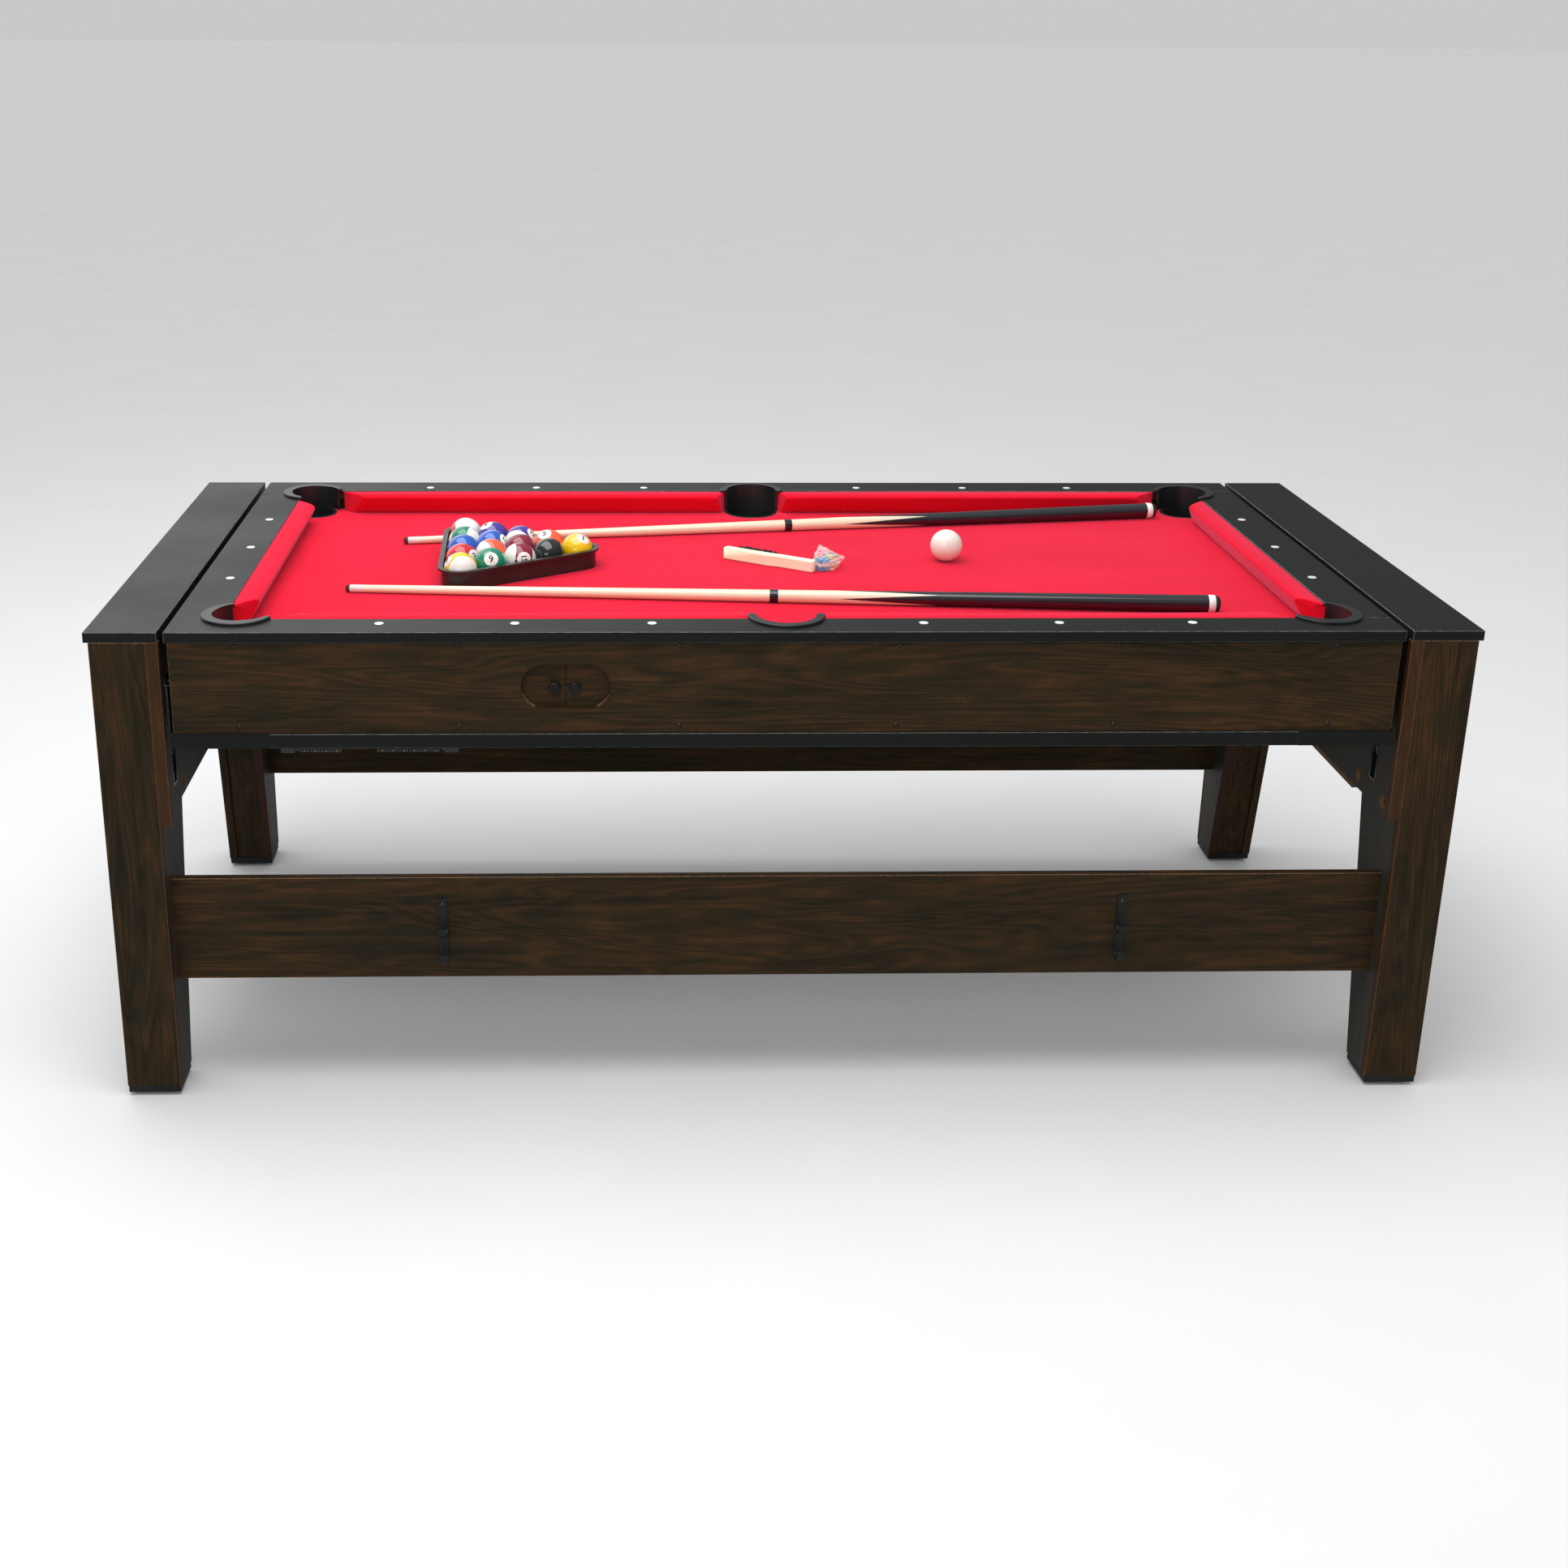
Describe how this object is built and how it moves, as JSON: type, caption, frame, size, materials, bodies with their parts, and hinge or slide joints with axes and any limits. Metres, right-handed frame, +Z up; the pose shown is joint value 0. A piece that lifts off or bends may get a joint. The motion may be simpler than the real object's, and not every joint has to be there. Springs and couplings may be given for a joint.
{
  "type": "flip-top pool and air hockey table",
  "caption": "Free-standing games table whose cabinet turns over between two end frames: six-pocket pool table on one side, air hockey rink on the other, with balls and cues.",
  "frame": {"origin": "on the floor under the middle of the table", "axes": "+X along the table's length to the right, +Y to the back, +Z up; pool side up at rest"},
  "size_m": [2.13, 0.956, 0.8118],
  "materials": {
    "black_laminate": "black foil laminate with a fine satin texture",
    "walnut_laminate": "dark walnut foil laminate, straight grain, low sheen",
    "plain_board": "uncoated fibreboard",
    "black_plastic": "moulded satin plastic",
    "gloss_black": "polished black plastic",
    "foot_rubber": "black moulded pad",
    "black_screws": "black oxide screw heads",
    "steel": "zinc-plated steel",
    "red_cloth": "napped red billiard cloth",
    "sight_white": "polished inlay",
    "rink_white": "polished white rink surface with red and blue lines",
    "rink_red": "glossy red strip",
    "ball_resin": "polished resin",
    "cue_maple": "lacquered maple with a black butt",
    "brush_cream": "painted handle",
    "chalk_blue": "pressed chalk"
  },
  "bodies": {
    "stand": {"end_cap_left": "black_laminate", "end_cap_right": "black_laminate", "inner_panel_left": "walnut_laminate", "inner_panel_right": "walnut_laminate", "outer_panel_left": "walnut_laminate", "outer_panel_right": "walnut_laminate", "leg_face_boards": "walnut_laminate", "leg_back_boards": "walnut_laminate", "foot_caps": "black_plastic", "cross_rails": "plain_board", "stretcher_front": "walnut_laminate", "stretcher_rear": "walnut_laminate", "cue_clips": "black_plastic", "stand_screws": "black_screws", "pivot_bushes": "steel", "lock_liners": "black_plastic"},
    "cabinet": {"pool_rails_long": "black_laminate", "pool_rails_end": "black_laminate", "pool_bed": "plain_board", "pool_cloth": "red_cloth", "cushions": "red_cloth", "corner_pockets": "black_plastic", "side_pockets": "black_plastic", "rail_sights": "sight_white", "apron_front": "walnut_laminate", "apron_rear": "walnut_laminate", "cabinet_ends": "walnut_laminate", "apron_screws": "black_screws", "storage_box": "black_plastic", "inner_frame": "plain_board", "pivot_flanges": "steel", "hockey_rails": "black_laminate", "hockey_corners": "black_laminate", "hockey_bed": "rink_white", "rink_walls": "rink_red", "goal_boxes": "black_plastic", "blower_housing": "black_plastic", "scorer_frames": "gloss_black"},
    "door_left": {"hatch_door_left": "walnut_laminate", "hatch_knob_left": "gloss_black"},
    "door_right": {"hatch_door_right": "walnut_laminate", "hatch_knob_right": "gloss_black"},
    "lock_left": {"lock_pin_left": "steel"},
    "lock_right": {"lock_pin_right": "steel"},
    "foot_front_left": {"levelling_foot_front_left": "foot_rubber"},
    "foot_front_right": {"levelling_foot_front_right": "foot_rubber"},
    "foot_rear_left": {"levelling_foot_rear_left": "foot_rubber"},
    "foot_rear_right": {"levelling_foot_rear_right": "foot_rubber"},
    "impeller": {"blower_impeller": "black_plastic"},
    "bead_group_front_a": {"beads_front_a": "gloss_black"},
    "bead_group_front_b": {"beads_front_b": "gloss_black"},
    "bead_group_rear_a": {"beads_rear_a": "gloss_black"},
    "bead_group_rear_b": {"beads_rear_b": "gloss_black"},
    "rack": {"ball_rack": "black_plastic"},
    "ball_set": {"object_balls": "ball_resin"},
    "white_ball": {"cue_ball": "ball_resin"},
    "cue_one": {"cue_a": "cue_maple"},
    "cue_two": {"cue_b": "cue_maple"},
    "brush": {"cloth_brush": "brush_cream"},
    "chalk_cubes": {"chalk": "chalk_blue"}
  },
  "joints": [
    {"name": "table_flip", "type": "hinge", "parent": "stand", "child": "cabinet", "pos_m": [0, 0, 0.6995], "axis": [1, 0, 0], "range_deg": [0, 180]},
    {"name": "door_left_slide", "type": "slide", "parent": "cabinet", "child": "door_left", "axis": [-1, 0, 0], "range_m": [0, 0.04]},
    {"name": "door_right_slide", "type": "slide", "parent": "cabinet", "child": "door_right", "axis": [1, 0, 0], "range_m": [0, 0.04]},
    {"name": "lock_left_pin", "type": "slide", "parent": "stand", "child": "lock_left", "axis": [1, 0, 0], "range_m": [0, 0.02]},
    {"name": "lock_right_pin", "type": "slide", "parent": "stand", "child": "lock_right", "axis": [-1, 0, 0], "range_m": [0, 0.02]},
    {"name": "blower_spin", "type": "hinge", "parent": "cabinet", "child": "impeller", "pos_m": [0.345, 0, 0.7], "axis": [0, 0, 1], "continuous": true},
    {"name": "level_front_left", "type": "hinge", "parent": "stand", "child": "foot_front_left", "pos_m": [-1.015, -0.438, 0.003], "axis": [0, 0, 1], "continuous": true},
    {"name": "level_rear_left", "type": "hinge", "parent": "stand", "child": "foot_rear_left", "pos_m": [-1.015, 0.438, 0.003], "axis": [0, 0, 1], "continuous": true},
    {"name": "level_front_right", "type": "hinge", "parent": "stand", "child": "foot_front_right", "pos_m": [1.015, -0.438, 0.003], "axis": [0, 0, 1], "continuous": true},
    {"name": "level_rear_right", "type": "hinge", "parent": "stand", "child": "foot_rear_right", "pos_m": [1.015, 0.438, 0.003], "axis": [0, 0, 1], "continuous": true},
    {"name": "score_front_a", "type": "slide", "parent": "cabinet", "child": "bead_group_front_a", "axis": [1, 0, 0], "range_m": [0, 0.024]},
    {"name": "score_front_b", "type": "slide", "parent": "cabinet", "child": "bead_group_front_b", "axis": [-1, 0, 0], "range_m": [0, 0.024]},
    {"name": "score_rear_a", "type": "slide", "parent": "cabinet", "child": "bead_group_rear_a", "axis": [1, 0, 0], "range_m": [0, 0.024]},
    {"name": "score_rear_b", "type": "slide", "parent": "cabinet", "child": "bead_group_rear_b", "axis": [-1, 0, 0], "range_m": [0, 0.024]},
    {"name": "rack_lift", "type": "slide", "parent": "cabinet", "child": "rack", "axis": [0, 0, -1], "range_m": [-0.12, 0]},
    {"name": "ball_set_lift", "type": "slide", "parent": "cabinet", "child": "ball_set", "axis": [0, 0, -1], "range_m": [-0.12, 0]},
    {"name": "white_ball_lift", "type": "slide", "parent": "cabinet", "child": "white_ball", "axis": [0, 0, -1], "range_m": [-0.12, 0]},
    {"name": "cue_one_lift", "type": "slide", "parent": "cabinet", "child": "cue_one", "axis": [0, 0, -1], "range_m": [-0.12, 0]},
    {"name": "cue_two_lift", "type": "slide", "parent": "cabinet", "child": "cue_two", "axis": [0, 0, -1], "range_m": [-0.12, 0]},
    {"name": "brush_lift", "type": "slide", "parent": "cabinet", "child": "brush", "axis": [0, 0, -1], "range_m": [-0.12, 0]},
    {"name": "chalk_cubes_lift", "type": "slide", "parent": "cabinet", "child": "chalk_cubes", "axis": [0, 0, -1], "range_m": [-0.12, 0]}
  ]
}
